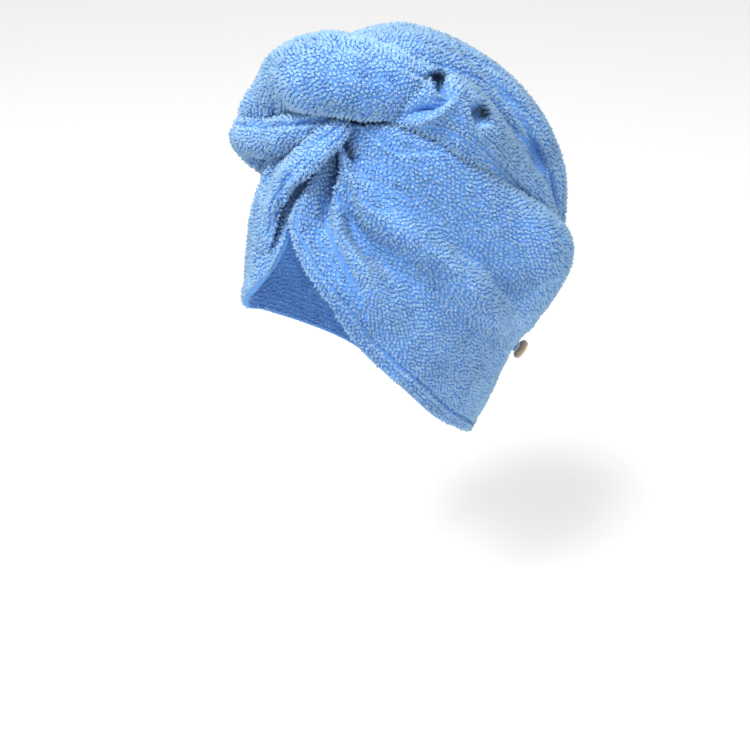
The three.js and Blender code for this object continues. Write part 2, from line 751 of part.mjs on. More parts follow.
// The whole turban, hung from the crown of the head
const turban = new THREE.Group();
turban.position.z = -CROWN_RISE;
function addPiece(name, geometry, finish) {
  const mesh = new THREE.Mesh(geometry, finish);
  mesh.name = name;
  turban.add(mesh);
  return mesh;
}
addPiece("hood", hood, material(CLOTH_BLUE, 0.95));
addPiece("front_twist", frontTwist, material(CLOTH_BLUE, 0.95));
addPiece("side_fold", sideFold, material(CLOTH_BLUE, 0.95));
addPiece("tail", tail, material(CLOTH_BLUE, 0.95));
addPiece("button_thread", buttonThread, material(THREAD_CREAM, 0.8));
addPiece("elastic_loop", elasticLoop, material(LOOP_BLUE, 0.8));
const buttonMesh = addPiece("button", button, material(BUTTON_BEIGE, 0.4));
buttonMesh.applyMatrix4(buttonFrame);

export default turban;
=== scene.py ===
"""Plush hair turban towel in its worn form, as a detailed model over the CAD frame."""

from collections import namedtuple

import bmesh
import bpy
import numpy as np
from mathutils import Matrix, Vector


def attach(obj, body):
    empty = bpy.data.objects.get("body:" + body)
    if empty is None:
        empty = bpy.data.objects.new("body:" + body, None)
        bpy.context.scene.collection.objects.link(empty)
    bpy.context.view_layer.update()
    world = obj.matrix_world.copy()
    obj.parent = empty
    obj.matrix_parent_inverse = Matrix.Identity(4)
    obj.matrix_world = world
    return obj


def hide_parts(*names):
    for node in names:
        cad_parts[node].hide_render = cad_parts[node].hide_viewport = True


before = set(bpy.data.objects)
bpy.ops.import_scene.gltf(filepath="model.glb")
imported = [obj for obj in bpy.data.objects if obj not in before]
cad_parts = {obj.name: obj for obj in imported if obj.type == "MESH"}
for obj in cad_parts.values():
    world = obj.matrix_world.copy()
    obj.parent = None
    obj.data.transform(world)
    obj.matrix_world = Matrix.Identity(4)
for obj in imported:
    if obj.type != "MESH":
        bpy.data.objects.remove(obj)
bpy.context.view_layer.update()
random = np.random.default_rng(11)

# Sizes and tables repeat those of the CAD source, in millimetres from the line between the ears
HEAD_HALF_WIDTH = 74.0
FOREHEAD_REACH = 79.0
NAPE_REACH = 96.0
CROWN_RISE = 119.0
CHIN_DROP = 112.0
CLOTH_WALL = 5.0
PLEAT_RISE = 40.0
TWIST_WIDTH = 56.0
TWIST_THICKNESS = 40.0
BAND_WIDTH = 34.0
BAND_THICKNESS = 26.0
STRAP_WIDTH = 44.0
STRAP_THICKNESS = 22.0
SIDE_FOLD_WIDTH = 50.0
SIDE_FOLD_THICKNESS = 36.0
TAIL_WIDTH = 84.0
TAIL_THICKNESS = 49.0
KNOT_AZIMUTH = 23.4
KNOT_ELEVATION = 76.5
NAPE_EDGE_AT_HEM = 140.0
NAPE_EDGE_BEHIND = 147.0

# Each hem: degrees from the knot, and its bearing round the knot from straight back
LEFT_HEM = np.array([
    (0, 186), (10, 188), (17, 188), (21, 184), (25, 172), (30, 160), (40, 142),
    (55, 129), (76, 113), (111, 92), (127, 78), (147, 54),
], float)
RIGHT_HEM = np.array([
    (0, 170), (17, 168), (21, 172), (25, 178), (30, 178), (43, 170), (51, 163),
    (61, 152), (74, 141), (87, 126), (104, 110), (121, 93), (147, 60),
], float)

FOLD_STATIONS = [0, 0.12, 0.3, 0.45, 0.6, 0.8, 1]
# Name, across and rise at each station, spread behind, spread in front, share that is empty
FOLDS = [
    (
        "broad pleat, overhanging edge",
        [0.66, 0.58, 0.585, 0.57, 0.52, 0.45, 0.4],
        [0.6, 0.5, 0.62, 0.5, 0.2, 0.02, 0],
        0.16, 0.035, 0.42,
    ),
    (
        "broad pleat, crest",
        [0.36, 0.31, 0.33, 0.33, 0.29, 0.24, 0.24],
        [0.7, 1.02, 0.96, 1.22, 0.7, 0.02, 0],
        0.18, 0.16, 0.62,
    ),
    (
        "cloth gathered under the tail",
        [0] * 7,
        [0.7, 0.6, 0.75, 0.78, 0.68, 0.12, 0],
        0.26, 0.24, 0,
    ),
    (
        "small pleat below the broad one",
        [0.62, 0.7, 0.8, 0.85, 0.88, 0.9, 0.9],
        [0.62, 0.36, 0.2, 0.06, 0, 0, 0],
        0.08, 0.07, 0.3,
    ),
    (
        "left hem, lifted at the knot",
        [0.86, 0.9, 0.95, 1, 1, 1, 1],
        [0.62, 0.32, 0.12, 0.02, 0, 0, 0],
        0.07, 0.1, 0.2,
    ),
    (
        "right crown pleat",
        [-0.25] * 7,
        [0.7, 0.8, 0.8, 0.72, 0.55, 0.1, 0],
        0.14, 0.16, 0,
    ),
    (
        "right temple pleat",
        [-0.5, -0.55, -0.58, -0.6, -0.6, -0.6, -0.6],
        [0.68, 0.8, 0.42, 0.12, 0.1, 0.04, 0],
        0.1, 0.1, 0.3,
    ),
    (
        "right forehead pleat",
        [-0.7, -0.76, -0.82, -0.85, -0.85, -0.85, -0.85],
        [0.62, 0.55, 0.14, 0.04, 0.02, 0, 0],
        0.08, 0.1, 0.2,
    ),
    (
        "right hem pleat",
        [-0.88, -0.93, -0.97, -1, -1, -1, -1],
        [0.6, 0.2, 0.06, 0, 0, 0, 0],
        0.05, 0.05, 0.2,
    ),
]


def sections(width, thickness, rows):
    """Middles, half widths and half thicknesses in mm from rows of shares, as in the CAD source."""
    sizes = np.array([HEAD_HALF_WIDTH, NAPE_REACH, CROWN_RISE, width / 2, thickness / 2])
    return np.array(rows) * sizes


# x, y and z of the middle as shares of the head, then width and thickness as shares of the piece
TWIST = sections(TWIST_WIDTH, TWIST_THICKNESS, [
    (0.53, 0.22, 1.36, 0.18, 0.3),
    (0.51, 0.14, 1.39, 0.32, 0.55),
    (0.46, 0.01, 1.39, 0.64, 0.85),
    (0.32, -0.16, 1.41, 0.89, 1),
    (0.18, -0.27, 1.43, 1, 1),
    (0.01, -0.36, 1.43, 1, 1),
    (-0.19, -0.42, 1.38, 0.72, 1),
    (-0.38, -0.48, 1.28, 0.46, 0.74),
    (-0.57, -0.51, 1.19, 0.41, 0.6),
    (-0.74, -0.52, 1.09, 0.32, 0.45),
])
BAND = sections(BAND_WIDTH, BAND_THICKNESS, [
    (0.24, -0.27, 1.25, 0.18, 0.31),
    (0.18, -0.36, 1.24, 0.41, 0.54),
    (-0.03, -0.47, 1.18, 0.71, 0.77),
    (-0.32, -0.53, 1.1, 0.88, 0.92),
    (-0.59, -0.54, 1.08, 0.94, 1),
    (-0.81, -0.37, 0.93, 1, 1),
    (-0.92, -0.15, 0.76, 0.82, 0.77),
    (-0.91, 0.12, 0.56, 0.47, 0.38),
])
STRAP = sections(STRAP_WIDTH, STRAP_THICKNESS, [
    (0.26, -0.29, 1.25, 0.18, 0.36),
    (0.3, -0.39, 1.19, 0.41, 0.82),
    (0.19, -0.47, 1.09, 0.73, 1),
    (-0.03, -0.53, 0.96, 0.98, 0.95),
    (-0.18, -0.61, 0.82, 1, 0.82),
    (-0.22, -0.67, 0.68, 0.9, 0.56),
    (-0.22, -0.72, 0.55, 0.6, 0.27),
])
SIDE_FOLD = sections(SIDE_FOLD_WIDTH, SIDE_FOLD_THICKNESS, [
    (0.32, -0.15, 1.23, 0.2, 0.28),
    (0.5, -0.06, 1.26, 0.4, 0.56),
    (0.63, 0.04, 1.3, 0.68, 0.83),
    (0.7, 0.17, 1.29, 0.96, 1),
    (0.73, 0.31, 1.2, 1, 1),
    (0.75, 0.48, 1.06, 0.84, 0.89),
    (0.76, 0.65, 0.91, 0.64, 0.78),
    (0.78, 0.82, 0.77, 0.48, 0.67),
    (0.78, 0.96, 0.63, 0.36, 0.5),
    (0.75, 1.1, 0.5, 0.24, 0.33),
])
TAIL = sections(TAIL_WIDTH, TAIL_THICKNESS, [
    (-0.38, -0.37, 1.25, 0.57, 0.65),
    (-0.18, -0.12, 1.33, 0.86, 0.88),
    (0.05, 0.18, 1.39, 0.98, 0.98),
    (0.19, 0.51, 1.29, 1, 1),
    (0.27, 0.82, 1.1, 0.98, 0.92),
    (0.3, 1.04, 0.82, 0.95, 0.9),
    (0.3, 1.11, 0.49, 0.88, 0.86),
    (0.26, 1.12, 0.12, 0.74, 0.73),
    (0.22, 1.11, -0.23, 0.52, 0.41),
])

# Surfaces of the hood and of the wound cloth


def smooth(places, values, at):
    """A smooth curve through one column of a table."""
    places = np.asarray(places, float)
    values = np.asarray(values, float)
    slopes = np.gradient(values, places)
    at = np.clip(at, places[0], places[-1])
    row = np.clip(np.searchsorted(places, at, side="right") - 1, 0, len(places) - 2)
    width = places[row + 1] - places[row]
    t = (at - places[row]) / width
    return (
        (2 * t**3 - 3 * t**2 + 1) * values[row]
        + (t**3 - 2 * t**2 + t) * width * slopes[row]
        + (3 * t**2 - 2 * t**3) * values[row + 1]
        + (t**3 - t**2) * width * slopes[row + 1]
    )


def unit(v):
    return v / np.maximum(np.linalg.norm(v, axis=-1, keepdims=True), 1e-9)


def knot_direction():
    azimuth, elevation = np.radians(KNOT_AZIMUTH), np.radians(KNOT_ELEVATION)
    level = np.cos(elevation)
    return np.array([np.sin(azimuth) * level, -np.cos(azimuth) * level, np.sin(elevation)])


KNOT = knot_direction()
SIDEWAYS = unit(np.array([1.0, 0, 0]) - KNOT[0] * KNOT)
BACKWARD = np.cross(KNOT, SIDEWAYS)


def hood_direction(across, along):
    """Way from the middle of the head: across from the right hem to the left, along from knot to nape."""
    nape = NAPE_EDGE_AT_HEM + (NAPE_EDGE_BEHIND - NAPE_EDGE_AT_HEM) * (1 - across**4)
    distance = nape * along
    hem = np.where(
        across >= 0,
        smooth(LEFT_HEM[:, 0], LEFT_HEM[:, 1], distance),
        smooth(RIGHT_HEM[:, 0], RIGHT_HEM[:, 1], distance),
    )
    bearing = np.radians(across * hem)
    distance = np.radians(distance)
    reach = np.sin(distance)
    return (
        np.cos(distance)[..., None] * KNOT
        + (reach * np.cos(bearing))[..., None] * BACKWARD
        + (reach * np.sin(bearing))[..., None] * SIDEWAYS
    )


def head_radius(d):
    length = np.where(d[..., 1] < 0, FOREHEAD_REACH, NAPE_REACH)
    height = np.where(d[..., 2] < 0, CHIN_DROP, CROWN_RISE)
    return 1 / np.sqrt(
        (d[..., 0] / HEAD_HALF_WIDTH) ** 2 + (d[..., 1] / length) ** 2 + (d[..., 2] / height) ** 2
    )


def fold_height(across, along, hollow=False):
    """How far the folds rise outside, or how far their hollows reach inside."""
    total = 0
    for _, place, rise, back, front, empty in FOLDS:
        aside = across - smooth(FOLD_STATIONS, place, along)
        spread = np.where(aside < 0, back, front)
        height = np.maximum(smooth(FOLD_STATIONS, rise, along), 0) * PLEAT_RISE
        if hollow:
            height = height * empty
        total = total + (height * np.exp(-((aside / spread) ** 2))) ** 3
    return np.cbrt(total)


def hood_surface(across, along):
    d = hood_direction(across, along)
    r = head_radius(d) + CLOTH_WALL + fold_height(across, along)
    return d * r[..., None]


# How square a section is, the share of a piece that rounds off at each end, and how sharp its ribs are
SQUARENESS = 2.3
END_SHARE = 0.05
RIB_SHARPNESS = 1.5


def loft(sections, share, angle, ribs, depth, turn, under=1.0):
    """A point of a wound piece: share along it, angle round it from its side toward its outside."""
    middles = sections[:, :3]
    places = np.r_[0, np.cumsum(np.linalg.norm(np.diff(middles, axis=0), axis=1))]
    total = places[-1]

    def path(at):
        return np.stack([smooth(places, middles[:, k], at) for k in range(3)], -1)

    at = share * total
    middle = path(at)
    run = unit(path(np.minimum(at + 1, total)) - path(np.maximum(at - 1, 0)))
    out = unit(middle - (middle * run).sum(-1, keepdims=True) * run)
    side = np.cross(run, out)
    near = np.minimum(1, np.minimum(share, 1 - share) / END_SHARE)
    rounding = np.sqrt(np.maximum(1 - (1 - near) ** 2, 0))
    wide = smooth(places, sections[:, 3], at) * rounding
    thick = smooth(places, sections[:, 4], at) * rounding * np.where(np.sin(angle) < 0, under, 1)
    wave = np.abs(np.sin((ribs * angle + turn * share) / 2))
    rib = 1 - depth * (1 - wave) ** RIB_SHARPNESS

    def squared(v):
        return np.sign(v) * np.abs(v) ** (2 / SQUARENESS)

    return (
        middle
        + side * (squared(np.cos(angle)) * wide * rib)[..., None]
        + out * (squared(np.sin(angle)) * thick * rib)[..., None]
    )


# The camera in the same millimetres, with a picture of PICTURE units a side

PICTURE = 750
FOCAL_LENGTH = 1000.0
SENSOR = 36
CAMERA_AZIMUTH = np.radians(55)
CAMERA_PITCH = np.radians(31.5)
CAMERA_YAW = np.arctan(-0.01)
CAMERA_BASE = np.array([0, 11.0, -276.0])
CAMERA_DISTANCE = 583
CAMERA_HEIGHT = 592.0


def camera_pose():
    """The camera's place and its ways to the right, up and forward."""
    toward = np.array([np.sin(CAMERA_AZIMUTH), -np.cos(CAMERA_AZIMUTH), 0])
    sideways = np.array([np.cos(CAMERA_AZIMUTH), np.sin(CAMERA_AZIMUTH), 0])
    place = CAMERA_BASE + toward * CAMERA_DISTANCE + np.array([0, 0, CAMERA_HEIGHT])
    level = -toward * np.cos(CAMERA_YAW) + sideways * np.sin(CAMERA_YAW)
    forward = level * np.cos(CAMERA_PITCH) + np.array([0, 0, -1]) * np.sin(CAMERA_PITCH)
    right = unit(np.cross(level, [0, 0, 1.0]))
    return place, right, np.cross(right, forward), forward


CAMERA_PLACE, CAMERA_RIGHT, CAMERA_UP, CAMERA_FORWARD = camera_pose()

# Creases and small folds as the camera sees them: piece, name, rise in mm, width to the left and to
# the right of the line, then the line's x, y and share of the rise
MARKS = [
    ("hood", "groove inside the hem", -8, 4, 5, [
        (320, 182, 0.4), (323, 200, 0.8), (328, 222, 1), (334, 240, 1), (345, 262, 0.9),
        (358, 287, 0.5), (366, 300, 0),
    ]),
    ("hood", "ridge beside the groove", 5, 8, 9, [
        (336, 205, 0.3), (342, 228, 0.8), (356, 256, 1), (374, 290, 0.8), (388, 318, 0.4),
        (398, 340, 0),
    ]),
    ("hood", "valley under the broad pleat", -10, 8, 15, [
        (330, 175, 0.5), (346, 208, 0.8), (360, 232, 1), (377, 241, 1), (400, 252, 1), (422, 263, 1),
        (446, 280, 1), (468, 302, 0.8), (482, 318, 0.3), (490, 330, 0),
    ]),
    ("hood", "dent across the broad pleat", -8, 12, 12, [
        (452, 228, 0), (470, 246, 0.6), (500, 264, 1), (520, 290, 1), (532, 305, 0.5),
    ]),
    ("hood", "small groove above the broad pleat", -3, 4, 4, [
        (366, 134, 0.3), (378, 141, 0.8), (395, 148, 1), (418, 149, 0.8), (440, 150, 0.3),
    ]),
    ("hood", "crest from the knot", 3, 6, 10, [
        (350, 126, 1), (365, 137, 1), (384, 150, 0.8), (404, 166, 0.5), (430, 182, 0),
    ]),
    ("hood", "gather one", -2.5, 4, 4, [(328, 168, 1), (350, 188, 1), (372, 204, 0.8), (395, 214, 0)]),
    ("hood", "gather two", -2, 4, 4, [(333, 158, 1), (360, 172, 1), (390, 188, 0.6), (420, 204, 0)]),
    ("hood", "gather three", -2, 4, 4, [(337, 148, 1), (362, 157, 1), (392, 170, 0.6), (420, 184, 0)]),
    ("hood", "gather four", -2, 3, 3, [
        (326, 172, 1), (338, 192, 1), (352, 222, 0.8), (366, 256, 0.3), (376, 280, 0),
    ]),
    ("hood", "valley of the far panel", -4, 7, 7, [
        (283, 200, 0.4), (278, 225, 1), (270, 250, 1), (262, 275, 0.6), (258, 292, 0.2),
    ]),
    ("strap", "gather one", -2, 5, 5, [
        (338, 126, 0.5), (318, 138, 1), (290, 153, 1), (270, 170, 1), (264, 190, 0.8), (258, 215, 0.4),
    ]),
    ("strap", "gather two", -2.5, 5, 5, [
        (338, 133, 0.4), (318, 147, 0.8), (296, 163, 1), (282, 182, 1), (277, 210, 1), (270, 232, 0.6),
    ]),
    ("band", "knot hole", -7, 5, 5, [(344, 117, 0.8), (352, 117, 1)]),
    ("hood", "knot hole", -7, 5, 5, [(346, 121, 0.8), (354, 118, 1), (361, 119, 0.5)]),
    ("band", "crease along the band", -3.5, 3, 3, [
        (236, 123, 0.6), (262, 124, 1), (300, 122, 1), (335, 119, 0.6),
    ]),
    ("twist", "hem line", -1.5, 2.5, 2.5, [(345, 46, 0.5), (378, 56, 1), (405, 66, 1), (428, 78, 1)]),
    ("twist", "short dimple", -3, 3, 3, [(272, 104, 0.5), (272, 114, 1), (275, 122, 0.6)]),
    ("side", "recess of the knuckle", -8, 7, 7, [
        (408, 116, 0.5), (420, 110, 1), (436, 104, 1), (448, 96, 0.6),
    ]),
    ("side", "ridge of the knuckle", 4, 6, 6, [
        (404, 123, 0.6), (430, 117, 1), (450, 105, 1), (460, 92, 0.6),
    ]),
    ("side", "lengthwise groove", -2.5, 5, 5, [
        (462, 118, 0.4), (490, 158, 1), (520, 192, 1), (540, 222, 0.5),
    ]),
    ("side", "upper hole", -12, 5, 5, [(438, 75, 1), (442, 84, 1)]),
    ("twist", "upper hole", -8, 5, 5, [(436, 77, 1), (441, 84, 1)]),
    ("side", "lower hole", -13, 5, 5, [(479, 108, 1), (483, 119, 1)]),
    ("tail", "upper hole", -12, 5, 5, [(437, 74, 1), (442, 84, 1)]),
    ("tail", "lower hole", -13, 6, 6, [(480, 106, 1), (485, 120, 1)]),
    ("tail", "edge of the hem", -2, 2.5, 2.5, [(368, 44, 0.6), (395, 52, 1), (424, 67, 1), (436, 76, 0.8)]),
    ("tail", "long groove", -3, 4, 4, [(452, 40, 0.4), (500, 85, 1), (530, 130, 1), (545, 165, 0.6)]),
    ("tail", "deep groove by the fold", -5, 5, 5, [
        (524, 134, 0.3), (535, 150, 1), (541, 164, 1), (546, 176, 0.3),
    ]),
    ("tail", "upright fold", -4, 3, 3, [(552, 175, 0.5), (556, 200, 1), (554, 224, 0.8)]),
]
# How far a mark reaches, in widths, and the step along its line
MARK_REACH = 3
MARK_STEP = 4
# How far a surface faces the camera where its marks begin, and over what range they come in
GRAZING = 0.02
GRAZING_RANGE = 0.2


def in_picture(points):
    seen = points - CAMERA_PLACE
    depth = seen @ CAMERA_FORWARD
    return (
        PICTURE / 2 + FOCAL_LENGTH * (seen @ CAMERA_RIGHT) / depth,
        PICTURE / 2 - FOCAL_LENGTH * (seen @ CAMERA_UP) / depth,
    )


def relief_chart(piece):
    """How far the marks raise a piece, for each place of the picture."""
    chart = np.zeros((PICTURE, PICTURE))
    for owner, _, rise, left, right, line in MARKS:
        if owner != piece:
            continue
        line = np.array(line, float)
        places = np.r_[0, np.cumsum(np.hypot(*np.diff(line[:, :2], axis=0).T))]
        at = np.linspace(0, places[-1], max(int(places[-1] / MARK_STEP), 2) + 1)
        path = np.stack([smooth(places, line[:, k], at) for k in range(3)], -1)
        reach = MARK_REACH * max(left, right)
        low = np.maximum(np.floor(path[:, :2].min(0) - reach), 0).astype(int)
        high = np.minimum(np.ceil(path[:, :2].max(0) + reach), PICTURE - 1).astype(int)
        x, y = np.meshgrid(np.arange(low[0], high[0] + 1), np.arange(low[1], high[1] + 1))
        best = np.full(x.shape, np.inf)
        side = np.zeros(x.shape)
        share = np.zeros(x.shape)
        for a, b in zip(path[:-1], path[1:]):
            run = b[:2] - a[:2]
            t = np.clip(((x - a[0]) * run[0] + (y - a[1]) * run[1]) / (run @ run), 0, 1)
            off = np.hypot(x - a[0] - t * run[0], y - a[1] - t * run[1])
            nearer = off < best
            best = np.where(nearer, off, best)
            side = np.where(nearer, run[0] * (y - a[1]) - run[1] * (x - a[0]), side)
            share = np.where(nearer, a[2] + (b[2] - a[2]) * t, share)
        width = np.where(side > 0, right, left)
        chart[low[1]:high[1] + 1, low[0]:high[0] + 1] += rise * share * np.exp(-((best / width) ** 2))
    return chart


CHARTS = {}


def with_relief(piece, points, normal, way):
    """Moves the points that face the camera by the piece's marks, along a way."""
    if piece not in CHARTS:
        CHARTS[piece] = relief_chart(piece)
    x, y = in_picture(points)
    inside = (x > 0) & (x < PICTURE - 2) & (y > 0) & (y < PICTURE - 2)
    x, y = np.clip(x, 0, PICTURE - 2), np.clip(y, 0, PICTURE - 2)
    i, j = y.astype(int), x.astype(int)
    fy, fx = y - i, x - j
    chart = CHARTS[piece]
    rise = (
        chart[i, j] * (1 - fx) * (1 - fy) + chart[i, j + 1] * fx * (1 - fy)
        + chart[i + 1, j] * (1 - fx) * fy + chart[i + 1, j + 1] * fx * fy
    )
    facing = (normal * unit(CAMERA_PLACE - points)).sum(-1)
    weight = np.clip((facing - GRAZING) / GRAZING_RANGE, 0, 1) * inside
    return points + way * (rise * weight)[..., None]


# Meshes


def to_frame(points):
    """From mm about the ear line to metres about the crown of the head."""
    return (points - np.array([0, 0, CROWN_RISE])) * 0.001


def grid_faces(rows, columns, start=0, wrap=False):
    """Quads of a grid of points, numbered row by row."""
    i, j = np.meshgrid(np.arange(rows - 1 + wrap), np.arange(columns - 1), indexing="ij")
    i, j = i.ravel(), j.ravel()
    n = (i + 1) % rows
    return start + np.stack([i * columns + j, n * columns + j, n * columns + j + 1, i * columns + j + 1], -1)


def zip_faces(first, second):
    """Triangles between two open chains of point numbers with different counts."""
    out = []
    i = j = 0
    while i < len(first) - 1 or j < len(second) - 1:
        next_i = (i + 1) / (len(first) - 1) if i < len(first) - 1 else 2
        next_j = (j + 1) / (len(second) - 1) if j < len(second) - 1 else 2
        if next_i <= next_j:
            out.append((first[i], first[i + 1], second[j]))
            i += 1
        else:
            out.append((first[i], second[j + 1], second[j]))
            j += 1
    return np.array(out)


def mesh_object(name, points, faces, attributes=None, rounded=True):
    """A mesh from points in the frame and a list of arrays of triangles or quads."""
    mesh = bpy.data.meshes.new(name)
    loops = np.concatenate([f.ravel() for f in faces]).astype(np.int32)
    sizes = np.concatenate([np.full(len(f), f.shape[1]) for f in faces]).astype(np.int32)
    mesh.vertices.add(len(points))
    mesh.vertices.foreach_set("co", points.astype(np.float32).ravel())
    mesh.loops.add(len(loops))
    mesh.loops.foreach_set("vertex_index", loops)
    mesh.polygons.add(len(sizes))
    mesh.polygons.foreach_set("loop_start", np.r_[0, np.cumsum(sizes)[:-1]].astype(np.int32))
    mesh.update(calc_edges=True)
    mesh.validate()
    if rounded:
        mesh.shade_smooth()
    for key, values in (attributes or {}).items():
        layer = mesh.attributes.new(key, "FLOAT", "POINT")
        layer.data.foreach_set("value", values.astype(np.float32))
    made = bpy.data.objects.new(name, mesh)
    bpy.context.scene.collection.objects.link(made)
    return made


def fix_normals(piece):
    shape = bmesh.new()
    shape.from_mesh(piece.data)
    bmesh.ops.recalc_face_normals(shape, faces=shape.faces)
    shape.to_mesh(piece.data)
    shape.free()


def grid_normals(points, way, wrap=False):
    """Normals of a grid of points, turned so that they mostly follow a way."""
    if wrap:
        across = np.roll(points, -1, 0) - np.roll(points, 1, 0)
    else:
        across = np.gradient(points, axis=0)
    along = np.gradient(points, axis=1)
    normal = unit(np.cross(across, along))
    return normal * np.sign((normal * way).sum(-1).mean())


# Pile of tufts, in mm: the spacing, height and length of a tuft, and the width of its strands

TUFT_PITCH = 2.45
TUFT_RISE = 1.9
TUFT_LENGTH = 1.25
TUFT_STRANDS = 5
STRAND_WIDTH = 0.95
# How far apart the strands stand, how much of that is left at their tips, how far they lean and sink
STRAND_SPREAD = 0.3
TUFT_GATHER = 0.35
TUFT_LEAN = 0.3
TUFT_FOOT = 0.4
# How much tufts and strands differ from each other
UNEVEN = (0.8, 1.2)
TWIST_SPREAD = 0.3
LEAN_SPREAD = 0.2
SIDE_WANDER = 0.12
ALONG_WANDER = 0.15
TURN_SPREAD = 0.3
TIP_WANDER = 0.25
TINT_SPREAD = 0.25
# The lining's pile
LINING_PITCH = 3.5
LINING_RISE = 1.2
LINING_STRANDS = 3


class Taken:
    """A coarse space in which every tuft keeps the next ones a pitch away."""

    CELLS_PER_PITCH = 5

    def __init__(self, low, high, pitch):
        self.cell = pitch / self.CELLS_PER_PITCH
        self.low = low - 2 * pitch
        size = ((high - low + 4 * pitch) / self.cell).astype(int) + 2
        self.full = np.zeros(size, bool).ravel()
        self.strides = np.array([size[1] * size[2], size[2], 1])
        reach = int(pitch / self.cell) + 1
        near = np.arange(-reach, reach + 1)
        ball = np.stack(np.meshgrid(near, near, near, indexing="ij"), -1).reshape(-1, 3)
        self.ball = ball[np.linalg.norm(ball, axis=1) * self.cell < pitch] @ self.strides

    def cells(self, points):
        return ((points - self.low) / self.cell).astype(int) @ self.strides


def tufts(points, way, wrap=False, pitch=TUFT_PITCH):
    """Tufts a pitch apart, row after row over the first axis of a grid and on along its second."""
    normal = grid_normals(points, way, wrap)
    taken = Taken(points.min((0, 1)), points.max((0, 1)), pitch)
    found = []
    for row, line in enumerate(taken.cells(points)):
        free = np.nonzero(~taken.full[line])[0]
        while len(free):
            column = free[0]
            found.append((row, column))
            taken.full[line[column] + taken.ball] = True
            free = free[1:]
            free = free[~taken.full[line[free]]]
    i, j = np.array(found).T
    along = np.gradient(points, axis=1)[i, j]
    return points[i, j], normal[i, j], unit(along)


# Deep pits between the folds that light hardly reaches, darkened with painted shade: x, y, z and reach in mm
PITS = np.array([
    (44, 16, 168, 5.5),
    (69, 27, 154, 5),
    (17, -23, 147, 5),
    (10, -38, 119, 4),
], float)


def pit_shade(points):
    """How much painted shade a point gets for lying in a pit: 0 is open, 1 is deep inside."""
    dark = np.zeros(len(points))
    for x, y, z, reach in PITS:
        off = np.linalg.norm(points - (x, y, z), axis=-1)
        dark = np.maximum(dark, np.exp(-((off / reach) ** 4)))
    return dark


def tuft_mesh(place, up, run, pitch=TUFT_PITCH, rise=TUFT_RISE, strands=TUFT_STRANDS):
    """For every tuft a few pointed strands that lean together at their tips, all joined."""
    count = len(place)

    def uneven():
        return random.uniform(*UNEVEN, count)[:, None]

    run = unit(run - (run * up).sum(-1, keepdims=True) * up)
    side = np.cross(up, run)
    twist = random.normal(0, TWIST_SPREAD, count)[:, None]
    along = run * np.cos(twist) + side * np.sin(twist)
    side = np.cross(up, along)
    tilt = random.normal(TUFT_LEAN, LEAN_SPREAD, count)[:, None]
    tall = rise * uneven()
    sideways = side * random.normal(0, SIDE_WANDER, (count, 1))
    place = place + sideways + along * random.normal(0, ALONG_WANDER, (count, 1))
    tint = random.uniform(0, 1, count)
    points, tips, tints = [], [], []
    for strand in range(strands):
        jitter = random.uniform(-TURN_SPREAD, TURN_SPREAD, count)[:, None]
        turn = 2 * np.pi * (strand + jitter) / (strands - 1)
        out = 0.0 if strand == strands - 1 else STRAND_SPREAD
        foot = (
            place
            + along * np.cos(turn) * pitch * out * TUFT_LENGTH
            + side * np.sin(turn) * pitch * out
        )
        high = tall * uneven()
        thick = STRAND_WIDTH * uneven()
        spin = random.uniform(0, 2 * np.pi, count)[:, None]
        for corner in range(3):
            angle = spin + 2 * np.pi * corner / 3
            points.append(foot - up * TUFT_FOOT + (along * np.cos(angle) + side * np.sin(angle)) * thick)
        points.append(
            place + (foot - place) * TUFT_GATHER + up * high + along * tall * tilt
            + along * random.normal(0, TIP_WANDER, (count, 1))
            + side * random.normal(0, TIP_WANDER, (count, 1))
        )
        tips += [0, 0, 0, 1]
        tints += [tint + random.uniform(-TINT_SPREAD, TINT_SPREAD, count)] * 4
    points = np.stack(points, 1)
    each = points.shape[1]
    triangles = []
    for strand in range(strands):
        a, b, c, top = range(4 * strand, 4 * strand + 4)
        triangles += [(a, b, top), (b, c, top), (c, a, top), (a, c, b)]
    faces = (np.array(triangles)[None] + (np.arange(count) * each)[:, None, None]).reshape(-1, 3)
    points = points.reshape(-1, 3)
    # The material paints shade at the feet of the strands and light at their tips by this share
    tip = np.tile(np.array(tips, float), count)
    return points, faces, {"tip": tip, "tint": np.stack(tints, 1).ravel(), "pit": pit_shade(points)}


# Materials

# Colour of the plush, from painted shade between the tufts to painted light at their tips
PLUSH_COLOURS_AND_PAINTED_SHADE = [
    (0.0, (0.07, 0.24, 0.66)),
    (0.22, (0.17, 0.38, 0.79)),
    (0.5, (0.32, 0.56, 0.88)),
    (1.0, (0.55, 0.77, 0.94)),
]
# How much of that way the tip and the tint of a tuft go, and the cloth below, which stays in the painted
# shade
TIP_SHARE = 0.72
TINT_SHARE = 0.28
CLOTH_SHARE = 0.3
# Noises in cycles per metre, and how dark and light each makes the plush
FIBRE_SCALE = 1500
FIBRE_SHADE = (0.82, 1.14)
BROAD_SCALE = 38
BROAD_SHADE = (0.86, 1.1)
# How dark the painted shade deep in a pit leaves the colour
PIT_SHADE = 0.04
# The stretch that most values of a noise lie in, and the strength and depth of the relief it gives
NOISE_RANGE = (0.3, 0.7)
FIBRE_BUMP_STRENGTH = 0.5
FIBRE_BUMP_DEPTH = 0.0005
SPECKLE_BUMP_STRENGTH = 0.6
# How far a face of the button turns to its axis where its rim ends
RIM_RANGE = (0.1, 0.5)


def material(name):
    made = bpy.data.materials.new(name)
    made.use_nodes = True
    tree = made.node_tree
    tree.nodes.clear()
    shader = tree.nodes.new("ShaderNodeBsdfPrincipled")
    output = tree.nodes.new("ShaderNodeOutputMaterial")
    tree.links.new(shader.outputs[0], output.inputs[0])
    return made, tree, shader


def node(tree, kind, inputs=None, **settings):
    made = tree.nodes.new(kind)
    for key, value in settings.items():
        setattr(made, key, value)
    for key, value in (inputs or {}).items():
        if isinstance(value, bpy.types.NodeSocket):
            tree.links.new(value, made.inputs[key])
        else:
            made.inputs[key].default_value = value
    return made


